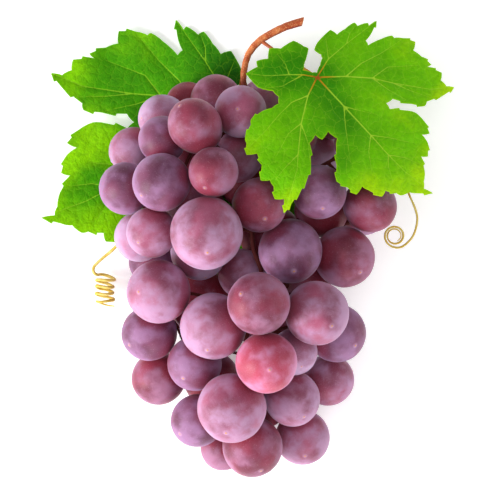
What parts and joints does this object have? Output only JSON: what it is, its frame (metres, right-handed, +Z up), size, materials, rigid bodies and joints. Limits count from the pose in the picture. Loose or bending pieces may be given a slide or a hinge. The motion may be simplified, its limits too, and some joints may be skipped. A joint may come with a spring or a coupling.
{
  "type": "bunch of grapes",
  "caption": "Bunch of large red table grapes on a cut woody stem, with vine leaves and curled tendrils, lying on its side.",
  "frame": {"origin": "on the table, under the middle of the whole part's length and width", "axes": "+Z up from the table; +Y along the bunch towards its cut stem; +X towards the side that the right leaf lies on"},
  "size_m": [0.176, 0.195, 0.0807],
  "materials": {
    "grape_skin": "thin waxy fruit skin over flesh, mauve bloom over dark wine red",
    "stem_bark": "fine-grained reddish-brown bark, matte",
    "leaf": "living leaf, satin, yellow-green with paler veins",
    "tendril": "dry golden shoot, satin"
  },
  "bodies": {
    "root": {"stem": "stem_bark", "leaf_right": "leaf", "leaf_left": "leaf", "tendril_right": "tendril", "tendril_left": "tendril", "grape_01": "grape_skin", "grape_02": "grape_skin", "grape_03": "grape_skin", "grape_04": "grape_skin", "grape_05": "grape_skin", "grape_06": "grape_skin", "grape_07": "grape_skin", "grape_08": "grape_skin", "grape_09": "grape_skin", "grape_10": "grape_skin", "grape_11": "grape_skin", "grape_12": "grape_skin", "grape_13": "grape_skin", "grape_14": "grape_skin", "grape_15": "grape_skin", "grape_16": "grape_skin", "grape_17": "grape_skin", "grape_18": "grape_skin", "grape_19": "grape_skin", "grape_20": "grape_skin", "grape_21": "grape_skin", "grape_22": "grape_skin", "grape_23": "grape_skin", "grape_24": "grape_skin", "grape_25": "grape_skin", "grape_26": "grape_skin", "grape_27": "grape_skin", "grape_28": "grape_skin", "grape_29": "grape_skin", "grape_30": "grape_skin", "grape_31": "grape_skin", "grape_32": "grape_skin", "grape_33": "grape_skin", "grape_34": "grape_skin", "grape_35": "grape_skin", "grape_36": "grape_skin", "grape_37": "grape_skin", "grape_38": "grape_skin", "grape_39": "grape_skin", "grape_40": "grape_skin", "grape_41": "grape_skin", "grape_42": "grape_skin", "grape_43": "grape_skin", "grape_44": "grape_skin", "grape_45": "grape_skin", "grape_46": "grape_skin", "grape_47": "grape_skin", "grape_48": "grape_skin", "grape_49": "grape_skin", "grape_50": "grape_skin", "grape_51": "grape_skin", "grape_52": "grape_skin", "grape_53": "grape_skin", "grape_54": "grape_skin", "grape_55": "grape_skin"}
  },
  "joints": []
}
